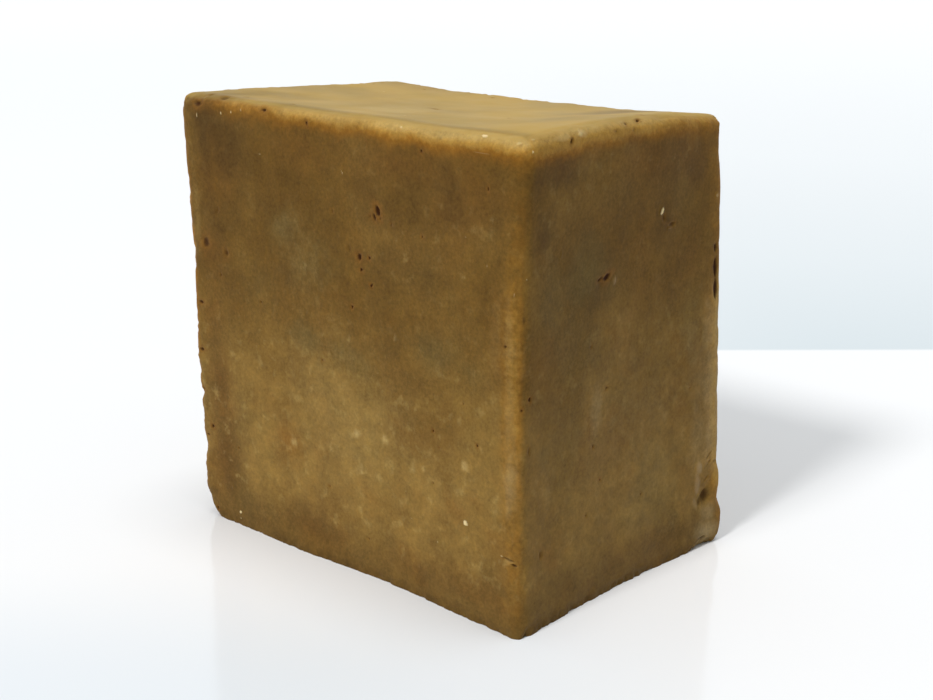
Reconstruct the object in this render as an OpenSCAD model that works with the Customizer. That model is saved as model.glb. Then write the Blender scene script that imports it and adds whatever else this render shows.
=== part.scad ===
// Bar of plain olive-brown soap, cut by hand from a slab and worn soft.
// One solid block: its faces are hollow from drying, its edges bow inwards
// and are rounded, its corners are out of square, and the rear right corner
// of the base is torn off. Units are millimetres.
// The broad front face looks along -Y, the narrow face along +X, and the
// flat base lies on Z = 0 with the origin in the middle.

/* [Block] */
// Width along the broad front face
block_width = 68.4; // [50:0.1:90]
// Depth from the front face to the back face
block_depth = 46.8; // [30:0.1:70]
// Height of the block as it stands
block_height = 66.6; // [40:0.1:90]

/* [Edges] */
// Radius of the four upright edges
upright_radius = 2.2; // [0.5:0.1:5]
// Radius of the rim around the top
rim_radius = 1.9; // [0.5:0.1:5]
// Radius of the edge around the base
base_radius = 0.6; // [0.4:0.1:2]

/* [Top face] */
// Rise of the front rim at its left end, middle and right end
top_front_rise = [1.2, 0.3, -0.6]; // [-4:0.1:4]
// Rise of the top along its middle line: left rim, middle, right rim
top_middle_rise = [0.5, -1.4, 0.3]; // [-4:0.1:4]
// Rise of the back rim at its left end, middle and right end
top_back_rise = [-0.3, -1.5, -1.5]; // [-4:0.1:4]

/* [Front face] */
// Swell of the front face at its foot: left, middle and right
front_foot_swell = [-0.1, -1.1, 0.5]; // [-4:0.1:4]
// Swell of the front face at half height: left, middle and right
front_waist_swell = [-0.2, -1.1, 0.0]; // [-4:0.1:4]
// Swell of the front face under the rim: left, middle and right
front_head_swell = [0.1, -0.4, -0.1]; // [-4:0.1:4]

/* [Right face] */
// Swell of the right face at its foot: near, middle and far
right_foot_swell = [0.4, -0.6, 1.0]; // [-4:0.1:4]
// Swell of the right face at half height: near, middle and far
right_waist_swell = [-0.7, -1.6, -0.1]; // [-4:0.1:4]
// Swell of the right face under the rim: near, middle and far
right_head_swell = [0.2, -0.4, -1.0]; // [-4:0.1:4]

/* [Left face] */
// Swell of the left face at its foot: near, middle and far
left_foot_swell = [-0.4, -0.3, 0.0]; // [-4:0.1:4]
// Swell of the left face at half height: near, middle and far
left_waist_swell = [-0.2, -1.0, -0.3]; // [-4:0.1:4]
// Swell of the left face under the rim: near, middle and far
left_head_swell = [0.2, -0.2, 0.0]; // [-4:0.1:4]

/* [Back face] */
// Swell of the back face at its foot: left, middle and right
back_foot_swell = [0.0, -0.3, 0.8]; // [-4:0.1:4]
// Swell of the back face at half height: left, middle and right
back_waist_swell = [-0.3, -1.0, -0.2]; // [-4:0.1:4]
// Swell of the back face under the rim: left, middle and right
back_head_swell = [-0.1, -0.4, -0.7]; // [-4:0.1:4]

/* [Hand cut] */
// Height of the slow waves that the cutter left on every face
wave_height = 0.12; // [0:0.01:0.6]
// Spacing of those waves
wave_pitch = 19; // [8:0.5:60]

/* [Torn foot] */
// Length of base edge that is torn off in front of the rear right corner
tear_length = 7.3; // [2:0.1:15]
// How far the torn edge stands off the ground at most
tear_lift = 1.6; // [0:0.1:3]
// How far the corner itself stands off the ground
tear_corner_lift = 3.0; // [0:0.1:4]
// How far the tear reaches in from the faces
tear_depth = 3.0; // [2.5:0.1:8]
// Length over which the tear steps up from the ground
tear_step = 1.4; // [0.5:0.1:4]
// Height up to which the foot is spread
foot_height = 2.8; // [1:0.1:12]
// How far the foot is spread outwards beyond the face
foot_spread = 0.45; // [0:0.1:3]

/* [Foot burr] */
// Distance of the burr under the front face from the left corner
burr_from_left = 25.5; // [5:0.5:60]
// Half length of the burr along the base edge
burr_reach = 8; // [1:0.5:20]
// How far the burr spreads forwards
burr_spread = 0.8; // [0:0.05:2]
// Height up to which the burr spreads
burr_height = 2.4; // [0.5:0.1:8]

/* [Gouge] */
// Height of the middle of the gouge in the right face
gouge_height = 8.4; // [3:0.1:40]
// Distance of the gouge from the rear right edge
gouge_from_edge = 4.7; // [2:0.1:20]
// Length of the gouge, which slants down towards the near edge
gouge_length = 3.0; // [0.5:0.1:8]
// Depth of the gouge
gouge_depth = 1.0; // [0:0.1:3]
// Half width of the gouge
gouge_reach = 1.1; // [0.5:0.1:5]

/* [Edge wear] */
// Heights at which the near left edge is bitten off, swells and is worn in
left_wear_height = [11.5, 27, 42.5]; // [0:0.1:90]
// Depth of the wear at those heights, below zero where the edge swells
left_wear_depth = [0.9, -0.45, 0.25]; // [-2:0.05:2]
// Half length of the wear at those heights
left_wear_reach = [1.1, 4.2, 3.0]; // [0.5:0.1:12]
// Heights at which the rear right edge is worn in, swells and is worn again
rear_wear_height = [6.0, 10.3, 13.6, 62.5]; // [0:0.1:90]
// Depth of the wear at those heights, below zero where the edge swells
rear_wear_depth = [0.3, -0.4, 0.3, 0.6]; // [-2:0.05:2]
// Half length of the wear at those heights
rear_wear_reach = [1.8, 1.2, 1.0, 2.4]; // [0.5:0.1:12]

/* [Dents] */
// Height of the crease pressed into the near upright edge
crease_height = 11.2; // [3:0.1:40]
// Depth of that crease
crease_depth = 0.5; // [0:0.1:2]
// Half height of that crease
crease_reach = 1.1; // [0.5:0.1:5]
// Length of the worn dip in the rim at the near left corner
dip_length = 5.0; // [1:0.1:12]
// Depth of that worn dip
dip_depth = 0.35; // [0:0.1:2]
// Size of the piece worn off the foot of the near left edge
left_foot_wear = 3.2; // [0.5:0.1:8]

/* [Hidden] */

// Cells across the width, the depth and the height
cells_x = 32;
cells_y = 22;
cells_z = 36;
// Cells that turn half a rounded edge
turn_cells = 3;

half_x = block_width / 2;
half_y = block_depth / 2;
ring_size = 2 * (cells_x + cells_y);

top_rows = [top_front_rise, top_middle_rise, top_back_rise];
front_rows = [front_foot_swell, front_waist_swell, front_head_swell];
right_rows = [right_foot_swell, right_waist_swell, right_head_swell];
left_rows = [left_foot_swell, left_waist_swell, left_head_swell];
back_rows = [back_foot_swell, back_waist_swell, back_head_swell];

// Level direction from the near left corner to the rear right one, how far a
// dent in an upright edge reaches round it, and the places of the dents
diagonal = [1, 1, 0] / sqrt(2);
edge_reach = 1.2 * upright_radius;
foot_at = [half_x, half_y, foot_height];
gouge_at = [half_x, half_y - gouge_from_edge, gouge_height];
crease_at = [half_x - upright_radius / 2, -half_y, crease_height];
dip_at = [-half_x + dip_length / 2, -half_y + dip_length / 4, block_height];
left_foot_at = [-half_x, -half_y, 0];
left_foot_cut = left_foot_wear * [0.22, 0.2, 0.58];
burr_at = [-half_x + burr_from_left, -half_y, 0];

// Lines across one direction, crowded where the edges turn
function stations(half, cells) = concat(
    [for (k = [0:turn_cells - 1])
        -half + upright_radius * (1 - tan(45 * (1 - k / turn_cells)))],
    [for (k = [0:cells - 2 * turn_cells])
        let (t = 2 * k / (cells - 2 * turn_cells) - 1)
        let (g = 0.55 * sin(90 * t) + 0.45 * t)
        g * (half - upright_radius)],
    [for (k = [1:turn_cells])
        half - upright_radius * (1 - tan(45 * k / turn_cells))]
);

xs = stations(half_x, cells_x);
ys = stations(half_y, cells_y);

// Levels of the rings, crowded where the edges turn and towards the foot
zs = concat(
    [for (k = [0:turn_cells - 1])
        base_radius * (1 - tan(45 * (1 - k / turn_cells)))],
    [for (k = [0:cells_z - 2 * turn_cells])
        let (t = k / (cells_z - 2 * turn_cells))
        base_radius + (0.45 * t + 0.55 * t * t) * (block_height - base_radius - rim_radius)],
    [for (k = [1:turn_cells])
        block_height - rim_radius * (1 - tan(45 * k / turn_cells))]
);

// One turn around the block, counted from the near left corner
ring = concat(
    [for (i = [0:cells_x - 1]) [xs[i], ys[0]]],
    [for (j = [0:cells_y - 1]) [xs[cells_x], ys[j]]],
    [for (i = [0:cells_x - 1]) [xs[cells_x - i], ys[cells_y]]],
    [for (j = [0:cells_y - 1]) [xs[0], ys[cells_y - j]]]
);

// Curve through three heights at -1, 0 and 1, and the sheet made of three
function arch(h, a) = h[0] * a * (a - 1) / 2 + h[1] * (1 - a * a) + h[2] * a * (a + 1) / 2;
function sheet(rows, a, b) = arch([for (h = rows) arch(h, a)], b);

function hold(v, low, high) = min(max(v, low), high);
function step(v, low, high) =
    let (t = hold((v - low) / (high - low), 0, 1)) t * t * (3 - 2 * t);

// Soft dab of weight one at a place, fading over the reach on each axis
function dab(p, at, reach) =
    let (d = [(p.x - at.x) / reach.x, (p.y - at.y) / reach.y, (p.z - at.z) / reach.z])
    exp(-(d * d));

// Middle of the rounding at a point of the sharp box, the direction that the
// rounded surface faces there, and the rounded point itself
function core(p) = [
    hold(p.x, -half_x + upright_radius, half_x - upright_radius),
    hold(p.y, -half_y + upright_radius, half_y - upright_radius),
    hold(p.z, base_radius, block_height - rim_radius)
];
function turned(p, c) =
    let (r = p.z < block_height / 2 ? base_radius : rim_radius)
    let (q = [(p.x - c.x) / upright_radius, (p.y - c.y) / upright_radius, (p.z - c.z) / r])
    q / norm(q);

// The edge around the base turns with its own radius, out at the walls
function rounded(c, q) =
    let (r = q.z < 0 ? base_radius : rim_radius, flat = norm([q.x, q.y]))
    let (out = q.z < 0 && flat > 0.001
        ? (upright_radius - base_radius) / flat + base_radius
        : upright_radius)
    [c.x + out * q.x, c.y + out * q.y, c.z + r * q.z];

// Hollow, out-of-square faces
function swollen(p) =
    let (u = p.x / half_x, v = p.y / half_y, w = 2 * p.z / block_height - 1)
    [
        p.x + (1 + u) / 2 * sheet(right_rows, v, w) - (1 - u) / 2 * sheet(left_rows, v, w),
        p.y + (1 + v) / 2 * sheet(back_rows, u, w) - (1 - v) / 2 * sheet(front_rows, u, w),
        p.z * (1 + sheet(top_rows, u, v) / block_height)
    ];

// Slow waves of the cutter across a face
function wave(p) = wave_height / 2 * (
    sin(360 * (p.x + 0.2 * p.z) / wave_pitch + 40)
    + sin(360 * (p.y - 0.15 * p.z + 0.3 * p.x) / (0.7 * wave_pitch) + 150)
);

// Wear of one upright edge, whose rows give heights, depths and half lengths
function edge_wear(p, corner, inward, heights, depths, reaches) =
    [for (k = [0:len(heights) - 1])
        dab(p, [corner.x, corner.y, heights[k]], [edge_reach, edge_reach, reaches[k]]) * depths[k]
    ] * [for (k = heights) inward];

// Gouge in the right face, which slants down towards the near edge
function gouge(p) =
    let (d = p - gouge_at)
    let (along = (d.y + d.z) / sqrt(2), beside = (d.z - d.y) / sqrt(2))
    gouge_depth * exp(-pow(along / (gouge_length / 2), 2) - pow(beside / gouge_reach, 2)
        - pow(d.x / upright_radius, 2));

// Torn rear right foot: how far its underside stands off the ground
function tear(p) =
    let (from_corner = half_y - p.y, inward = (half_x - p.x) / tear_depth)
    let (notch_end = tear_length - tear_step)
    let (notch = step(from_corner, tear_length, notch_end)
        * pow(hold(from_corner / notch_end, 0, 1), 1.5))
    (tear_lift * notch + tear_corner_lift * step(from_corner, upright_radius, 0))
    * hold(1 - inward, 0, 1)
    * hold(1 - p.z / (2 * (tear_lift + tear_corner_lift)), 0, 1);

// All wear and damage together
function worn(p) =
    [0, 0, tear(p)]
    - [gouge(p), 0, 0]
    + dab(p, foot_at, [foot_height, foot_height, foot_height]) * foot_spread * diagonal
    + dab(p, left_foot_at, [left_foot_wear, left_foot_wear, left_foot_wear]) * left_foot_cut
    + dab(p, burr_at, [burr_reach, upright_radius, burr_height]) * [0, -burr_spread, 0]
    + edge_wear(p, [-half_x, -half_y], diagonal,
        left_wear_height, left_wear_depth, left_wear_reach)
    + edge_wear(p, [half_x, half_y], -diagonal,
        rear_wear_height, rear_wear_depth, rear_wear_reach)
    + dab(p, crease_at, [edge_reach, edge_reach, crease_reach]) * crease_depth * [-1, 1, 0] / sqrt(2)
    + dab(p, dip_at, [dip_length, dip_length, 2 * rim_radius]) * [0, 0, -dip_depth];

// A point of the sharp box, brought to the real surface
function skin(p) =
    let (c = core(p), q = turned(p, c), s = swollen(rounded(c, q)))
    q.z < -0.9999 ? [s.x, s.y, 0] :
    let (t = s + q * wave(p) + worn(p))
    [t.x, t.y, max(t.z, 0)];

wall_points = [for (z = zs) for (a = ring) [a.x, a.y, z]];
top_points = [for (j = [1:cells_y - 1]) for (i = [1:cells_x - 1])
    [xs[i], ys[j], block_height]];
base_insets = [for (k = [1:turn_cells])
    upright_radius * (1 - tan(45 * (1 - k / turn_cells)))];
base_points = [for (d = base_insets) for (a = ring)
    [a.x * (1 - d / half_x), a.y * (1 - d / half_y), 0]];

formed = concat(
    [for (p = wall_points) skin(p)],
    [for (p = top_points) skin(p)],
    [for (p = base_points) skin(p)],
    [[0, 0, 0]]
);
shift_x = (min([for (p = formed) p.x]) + max([for (p = formed) p.x])) / 2;
shift_y = (min([for (p = formed) p.y]) + max([for (p = formed) p.y])) / 2;
points = [for (p = formed) [p.x - shift_x, p.y - shift_y, p.z]];

top_start = (cells_z + 1) * ring_size;
base_start = top_start + (cells_x - 1) * (cells_y - 1);
centre = base_start + turn_cells * ring_size;

function ring_index(i, j) =
    j == 0 ? i :
    i == cells_x ? cells_x + j :
    j == cells_y ? cells_x + cells_y + (cells_x - i) :
    2 * cells_x + cells_y + (cells_y - j);
function top_index(i, j) =
    i == 0 || i == cells_x || j == 0 || j == cells_y
        ? cells_z * ring_size + ring_index(i, j)
        : top_start + (j - 1) * (cells_x - 1) + i - 1;
function base_index(k, i) = k == 0 ? i : base_start + (k - 1) * ring_size + i;

wall_faces = [for (k = [0:cells_z - 1]) for (i = [0:ring_size - 1])
    let (n = (i + 1) % ring_size, a = k * ring_size)
    each [[a + i, a + ring_size + n, a + n], [a + i, a + ring_size + i, a + ring_size + n]]];
top_faces = [for (j = [0:cells_y - 1]) for (i = [0:cells_x - 1])
    let (a = top_index(i, j), b = top_index(i + 1, j))
    let (c = top_index(i + 1, j + 1), d = top_index(i, j + 1))
    each [[a, c, b], [a, d, c]]];
base_faces = [for (k = [0:turn_cells - 1]) for (i = [0:ring_size - 1])
    let (n = (i + 1) % ring_size)
    let (a = base_index(k, i), b = base_index(k, n))
    let (c = base_index(k + 1, n), d = base_index(k + 1, i))
    each [[a, b, c], [a, c, d]]];
floor_faces = [for (i = [0:ring_size - 1])
    [base_index(turn_cells, i), base_index(turn_cells, (i + 1) % ring_size), centre]];

// The soap bar, one solid
module soap_bar() {
    color([0.47, 0.37, 0.20])
    polyhedron(
        points = points,
        faces = concat(wall_faces, top_faces, base_faces, floor_faces),
        convexity = 4
    );
}

soap_bar();
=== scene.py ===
import math
import random

import bmesh
import bpy
import numpy as np
from mathutils import Matrix, Vector, noise
from mathutils.bvhtree import BVHTree


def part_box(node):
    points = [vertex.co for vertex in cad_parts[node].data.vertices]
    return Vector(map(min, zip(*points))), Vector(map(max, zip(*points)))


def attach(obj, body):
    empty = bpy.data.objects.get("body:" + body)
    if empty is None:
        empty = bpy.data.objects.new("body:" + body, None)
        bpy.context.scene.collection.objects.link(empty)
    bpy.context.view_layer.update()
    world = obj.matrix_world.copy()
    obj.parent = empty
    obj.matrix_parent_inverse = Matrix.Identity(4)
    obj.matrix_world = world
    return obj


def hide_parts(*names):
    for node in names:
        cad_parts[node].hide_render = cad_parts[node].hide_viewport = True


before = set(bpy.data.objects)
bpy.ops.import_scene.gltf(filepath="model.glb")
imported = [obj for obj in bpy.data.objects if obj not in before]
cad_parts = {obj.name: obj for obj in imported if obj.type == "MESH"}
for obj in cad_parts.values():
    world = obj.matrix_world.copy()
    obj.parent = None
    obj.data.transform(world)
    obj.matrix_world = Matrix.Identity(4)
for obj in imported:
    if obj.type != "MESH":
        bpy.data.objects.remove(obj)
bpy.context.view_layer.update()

# The camera. It stands in front of the near upright edge, a little above the
# top of the bar, and looks down past both upright faces.
MM = 0.001
PHOTO_WIDTH, PHOTO_HEIGHT = 933, 700
SENSOR_WIDTH = 36.0
LENS = 55.48
NEAREST_SEEN, FARTHEST_SEEN = 0.01, 20
CAMERA_PLACE = Vector((145.2, -155.43, 87.71)) * MM
CAMERA_TURN = math.radians(42.50)
CAMERA_DIP = math.radians(15.505)
CAMERA_ROLL = math.radians(-0.123)

ahead = Vector((
    -math.sin(CAMERA_TURN) * math.cos(CAMERA_DIP),
    math.cos(CAMERA_TURN) * math.cos(CAMERA_DIP),
    -math.sin(CAMERA_DIP),
))
rightward = Vector((math.cos(CAMERA_TURN), math.sin(CAMERA_TURN), 0))
upward = rightward.cross(ahead)
picture_right = rightward * math.cos(CAMERA_ROLL) + upward * math.sin(CAMERA_ROLL)
picture_up = upward * math.cos(CAMERA_ROLL) - rightward * math.sin(CAMERA_ROLL)

camera_data = bpy.data.cameras.new("camera")
camera_data.lens = LENS
camera_data.sensor_width = SENSOR_WIDTH
camera_data.clip_start = NEAREST_SEEN
camera_data.clip_end = FARTHEST_SEEN
camera = bpy.data.objects.new("camera", camera_data)
camera_axes = Matrix((picture_right, picture_up, -ahead)).transposed()
camera.matrix_world = Matrix.Translation(CAMERA_PLACE) @ camera_axes.to_4x4()
bpy.context.scene.collection.objects.link(camera)
bpy.context.scene.camera = camera


def sight(px, py):
    """Direction in which the camera sees a point of the picture."""
    focal = LENS / SENSOR_WIDTH * PHOTO_WIDTH
    right = (px - PHOTO_WIDTH / 2) / focal
    down = (py - PHOTO_HEIGHT / 2) / focal
    return (ahead + picture_right * right - picture_up * down).normalized()


# The bar of soap. One block of hard olive-brown soap, poured as a slab, cut
# by hand and dried until its faces sank in. Handling wore its edges round and
# golden, and small air holes, crumbs and dents are left in its skin.
SMOOTH_LEVELS = 2
WELD = 0.002 * MM
QUAD_BEND = math.radians(40)
QUAD_SKEW = math.radians(60)


def smooth_step(low, high, value):
    """0 below low, 1 above high, and an even slope between them."""
    t = np.clip((value - low) / (high - low), 0, 1)
    return t * t * (3 - 2 * t)


def block_mesh(node):
    """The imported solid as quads, smoothed, in a mesh of its own."""
    bm = bmesh.new()
    bm.from_mesh(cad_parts[node].data)
    bmesh.ops.remove_doubles(bm, verts=bm.verts, dist=WELD)
    bmesh.ops.join_triangles(
        bm, faces=bm.faces, angle_face_threshold=QUAD_BEND, angle_shape_threshold=QUAD_SKEW,
        cmp_seam=False, cmp_sharp=False, cmp_uvs=False, cmp_vcols=False, cmp_materials=False,
    )
    mesh = bpy.data.meshes.new("soap_bar_start")
    bm.to_mesh(mesh)
    bm.free()
    start = bpy.data.objects.new("soap_bar_start", mesh)
    bpy.context.scene.collection.objects.link(start)
    smooth = start.modifiers.new("smooth", "SUBSURF")
    smooth.levels = SMOOTH_LEVELS
    smooth.render_levels = SMOOTH_LEVELS
    seen = start.evaluated_get(bpy.context.evaluated_depsgraph_get())
    result = bpy.data.meshes.new_from_object(seen)
    bpy.data.objects.remove(start)
    bpy.data.meshes.remove(mesh)
    return result


skin = block_mesh("soap_bar")
surface = bmesh.new()
surface.from_mesh(skin)
tree = BVHTree.FromBMesh(surface)

# A spot whose level direction is shorter than this lies flat
FLAT = 0.3
SEED_STEP = 7.3
marks = []


def mark(kind, place, normal, long, wide, depth=0.0, tilt=0.0, strength=1.0):
    """One mark on the skin: half its length, half its width and its depth in mm, and its
    tilt in degrees from the upright."""
    side = normal.cross(Vector((0, 0, 1)))
    if side.length < FLAT:
        side = Vector((1, 0, 0)).cross(normal)
    side.normalize()
    up = side.cross(normal)
    if up.z < 0:
        up = -up
    angle = math.radians(tilt)
    along = up * math.cos(angle) + side * math.sin(angle)
    marks.append({
        "kind": kind, "place": place, "normal": normal, "along": along,
        "beside": normal.cross(along), "long": long * MM, "wide": wide * MM,
        "depth": depth * MM, "strength": strength, "seed": len(marks) * SEED_STEP,
    })


def seen_marks(kind, rows):
    """Marks where the photo shows them; each row is a picture point, half length, half width,
    depth, tilt and strength."""
    for point, *sizes in rows:
        place, normal, _, _ = tree.ray_cast(CAMERA_PLACE, sight(*point))
        if place is not None:
            mark(kind, place, normal, *sizes)


def seen_patches(kind, rows):
    """Marks without depth; each row is a picture point, half length, half width, strength
    and, for a patch that isn't upright, its tilt."""
    for point, long, wide, strength, *tilt in rows:
        seen_marks(kind, [(point, long, wide, 0, *(tilt or [0]), strength)])


# Air holes in both faces, the rim and the top; their near-black colour is partly
# painted shade in the hollows
BROAD_FACE_HOLES = [
    ((377, 211), 0.95, 0.56, 0.35, 16),
    ((374, 217), 0.60, 0.40, 0.18, 30, 0.8),
    ((380, 219), 0.40, 0.30, 0.12, 0, 0.5),
    ((370, 216), 0.30, 0.30, 0.10, 0, 0.5),
    ((359, 257), 0.62, 0.60, 0.28, 20, 0.9),
    ((369, 258), 0.28, 0.28, 0.25),
    ((361, 270), 0.34, 0.30, 0.22, 0, 0.9),
    ((371, 286), 0.28, 0.26, 0.22),
    ((352, 307), 0.26, 0.24, 0.30),
    ((349, 248), 0.75, 0.50, 0.10, 0, 0.30),
    ((422, 237), 0.24, 0.24, 0.20, 0, 0.7),
    ((391, 224), 0.19, 0.19, 0.15, 0, 0.6),
    ((332, 211), 0.38, 0.34, 0.12, 0, 0.45),
    ((226, 253), 0.70, 0.60, 0.22, 10, 0.55),
    ((217, 210), 0.78, 0.48, 0.12, -30, 0.35),
    ((206, 242), 0.95, 0.90, 0.16, -40, 0.70),
    ((221, 275), 0.34, 0.29, 0.12, 0, 0.4),
    ((421, 151), 0.31, 0.26, 0.20, 0, 0.8),
    ((306, 123), 0.36, 0.30, 0.22, 0, 0.9),
    ((264, 110), 0.34, 0.62, 0.20, 0, 0.8),
    ((201, 302), 0.34, 0.72, 0.30, 0, 0.8),
    ((202, 349), 0.36, 0.60, 0.25, 0, 0.7),
    ((203, 389), 0.36, 0.48, 0.30, 0, 0.8),
    ((213, 426), 0.36, 0.41, 0.25, 0, 0.9),
    ((208, 434), 0.24, 0.60, 0.20, 0, 0.6),
    ((261, 302), 0.22, 0.22, 0.20, 0, 0.7),
    ((322, 360), 0.22, 0.22, 0.20, 0, 0.7),
    ((239, 448), 0.22, 0.22, 0.15, 0, 0.5),
    ((330, 486), 0.24, 0.22, 0.15, 0, 0.5),
    ((433, 431), 0.22, 0.22, 0.35),
    ((439, 448), 0.14, 0.14, 0.20, 0, 0.7),
    ((477, 446), 0.24, 0.19, 0.30),
    ((433, 483), 0.24, 0.30, 0.12, 0, 0.4),
    ((369, 539), 0.24, 0.24, 0.15, 0, 0.5),
    ((218, 508), 0.41, 0.36, 0.30, 0, 0.8),
    ((488, 189), 0.43, 0.19, 0.20, 0, 0.7),
    ((463, 404), 0.24, 0.17, 0.12, 20, 0.5),
    ((505, 347), 0.26, 0.36, 0.20, 0, 0.6),
]
NARROW_FACE_HOLES = [
    ((530, 400), 0.34, 0.29, 0.35),
    ((522, 411), 0.26, 0.19, 0.20, 0, 0.7),
    ((529, 452), 0.72, 0.31, 0.15, 0, 0.4),
    ((525, 321), 0.60, 0.30, 0.15, 0, 0.3),
    ((607, 277), 0.46, 0.95, 0.22, 24, 0.95),
    ((602, 278), 0.30, 0.50, 0.10, 0, 0.55),
    ((600, 280), 0.30, 0.60, 0.15, 20, 0.7),
    ((600, 285), 0.96, 0.72, 0.10, 0, 0.25),
    ((664, 218), 0.60, 0.40, 0.20, 10, 0.45),
    ((672, 224), 0.36, 0.90, 0.25, 0, 0.45),
    ((591, 347), 0.26, 0.26, 0.15, 0, 0.5),
    ((607, 388), 0.26, 0.26, 0.20, 0, 0.6),
    ((593, 447), 0.22, 0.22, 0.20, 0, 0.7),
    ((600, 480), 0.24, 0.24, 0.20, 0, 0.7),
    ((586, 516), 0.24, 0.24, 0.15, 0, 0.5),
    ((641, 494), 0.30, 0.24, 0.15, 0, 0.5),
    ((690, 388), 0.26, 0.26, 0.12, 0, 0.4),
    ((541, 555), 0.75, 0.50, 0.25, 0, 0.35),
]
RIM_AND_TOP_HOLES = [
    ((572, 141), 0.42, 0.26, 0.40, -20),
    ((638, 120), 0.26, 0.44, 0.30, 0, 0.9),
    ((627, 123), 0.31, 0.33, 0.20, 0, 0.6),
    ((635, 130), 0.31, 0.33, 0.15, 0, 0.4),
    ((617, 131), 0.24, 0.24, 0.15, 0, 0.4),
    ((435, 109), 0.33, 1.04, 0.20, 70, 0.6),
    ((225, 97), 0.66, 0.99, 0.20, 0, 0.5),
    ((197, 103), 0.66, 0.88, 0.30, 0, 0.7),
    ((247, 97), 0.33, 0.55, 0.15, 0, 0.5),
    ((212, 94), 0.44, 0.66, 0.15, 0, 0.4),
]
# Dents and cuts along the far right edge and near the foot; their dark colour is
# partly painted shade, and the cut just above the foot at the right paints the
# shadow under its lifted edge
CUTS = [
    ((704, 496), 2.10, 1.40, 0.20, -42, 0.38),
    ((705, 494), 1.30, 0.90, 0.35, -42, 0.60),
    ((699, 501), 0.90, 0.55, 0.20, -42, 0.45),
    ((709, 483), 1.50, 0.80, 0.12, -42, 0.16),
    ((706, 478), 1.00, 0.22, 0.15, -50, 0.20),
    ((709, 455), 1.10, 0.16, 0.20, -50, 0.25),
    ((709, 462), 1.00, 0.14, 0.20, -50, 0.25),
    ((716, 247), 0.90, 0.55, 0.30, 0, 0.8),
    ((716, 268), 2.30, 0.65, 0.35, 0, 0.9),
    ((716, 288), 2.30, 0.75, 0.35, 0, 0.9),
    ((715, 461), 0.35, 0.60, 0.30, 0, 0.4),
    ((508, 560), 0.22, 1.30, 0.22, -10, 0.50),
    ((514, 566), 0.22, 0.50, 0.18, -14, 0.7),
    ((702, 538), 0.40, 1.30, 0.30, 0, 0.6),
]
seen_marks("hole", BROAD_FACE_HOLES + NARROW_FACE_HOLES + RIM_AND_TOP_HOLES)
seen_marks("cut", CUTS)

# Pale crumbs that stick out of the skin; their depth is their height
CRUMBS = [
    ((466, 523), 0.50, 0.44, -0.18, 20),
    ((241, 512), 0.34, 0.30, -0.12),
    ((241, 518), 0.16, 0.16, -0.06, 0, 0.6),
    ((438, 542), 0.22, 0.18, -0.08, 0, 0.6),
    ((406, 491), 0.16, 0.16, -0.05, 0, 0.5),
    ((411, 518), 0.16, 0.16, -0.05, 0, 0.4),
    ((342, 172), 0.60, 0.13, -0.06, 38, 0.55),
    ((260, 154), 0.24, 0.34, -0.06, 0, 0.4),
    ((197, 115), 0.50, 0.14, -0.08, 0, 0.6),
    ((221, 113), 0.30, 0.18, -0.08, 20, 0.7),
    ((231, 112), 0.26, 0.18, -0.08, 0, 0.7),
    ((241, 110), 0.40, 0.20, -0.08, 0, 0.5),
    ((466, 237), 0.22, 0.18, -0.06, 40, 0.4),
    ((401, 127), 0.20, 0.26, -0.06, 0, 0.7),
    ((368, 87), 0.40, 0.16, -0.06, 0, 0.5),
    # The crumb on the front rim just below is painted cream partly as a painted highlight
    ((485, 136), 0.30, 0.70, -0.14, -12, 0.9),
    ((519, 143), 0.30, 0.70, -0.12, 10, 0.4),
    ((405, 116), 0.30, 0.60, -0.08, 0, 0.5),
    ((533, 152), 0.24, 0.16, -0.10, 0, 0.9),
    ((533, 140), 0.22, 0.50, -0.10, 0, 0.4),
    ((487, 267), 0.14, 0.14, -0.05, 0, 0.6),
    ((527, 280), 0.14, 0.14, -0.05, 0, 0.6),
    ((514, 294), 0.14, 0.14, -0.05, 0, 0.6),
    ((662, 211), 0.78, 0.34, -0.20, -30, 0.9),
    ((669, 228), 0.20, 0.70, -0.12, 0, 0.3),
    ((580, 134), 0.50, 0.70, -0.15, 0, 0.5),
    ((562, 138), 0.80, 2.60, 0.0, 0, 0.30),
    ((583, 133), 0.90, 1.60, 0.0, 0, 0.36),
    ((717, 195), 0.45, 0.50, -0.12, 0, 0.4),
    ((561, 256), 0.80, 0.24, -0.05, -20, 0.2),
    ((502, 556), 0.20, 0.34, -0.10, 0, 0.5),
    ((378, 373), 0.16, 0.16, -0.04, 0, 0.4),
    ((357, 369), 0.20, 0.16, -0.04, 0, 0.3),
    ((361, 374), 0.20, 0.16, -0.04, 0, 0.3),
    ((361, 518), 0.16, 0.16, -0.04, 0, 0.3),
    ((233, 487), 0.60, 0.20, -0.05, 10, 0.25),
]
seen_marks("crumb", CRUMBS)

# Long pale scratches and scraped streaks
SCRAPES = [
    ((480, 153), 0.07, 2.40, 0.0, 0, 0.5),
    ((699, 468), 1.20, 0.85, -0.20, 0, 0.85),
    ((697, 484), 2.20, 0.95, -0.20, 4, 0.70),
    ((694, 503), 1.40, 0.80, -0.12, 20, 0.45),
    ((636, 515), 0.12, 0.90, 0.0, 0, 0.4),
    ((614, 280), 0.95, 0.50, -0.18, -12, 0.55),
]
seen_marks("scrape", SCRAPES)
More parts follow.
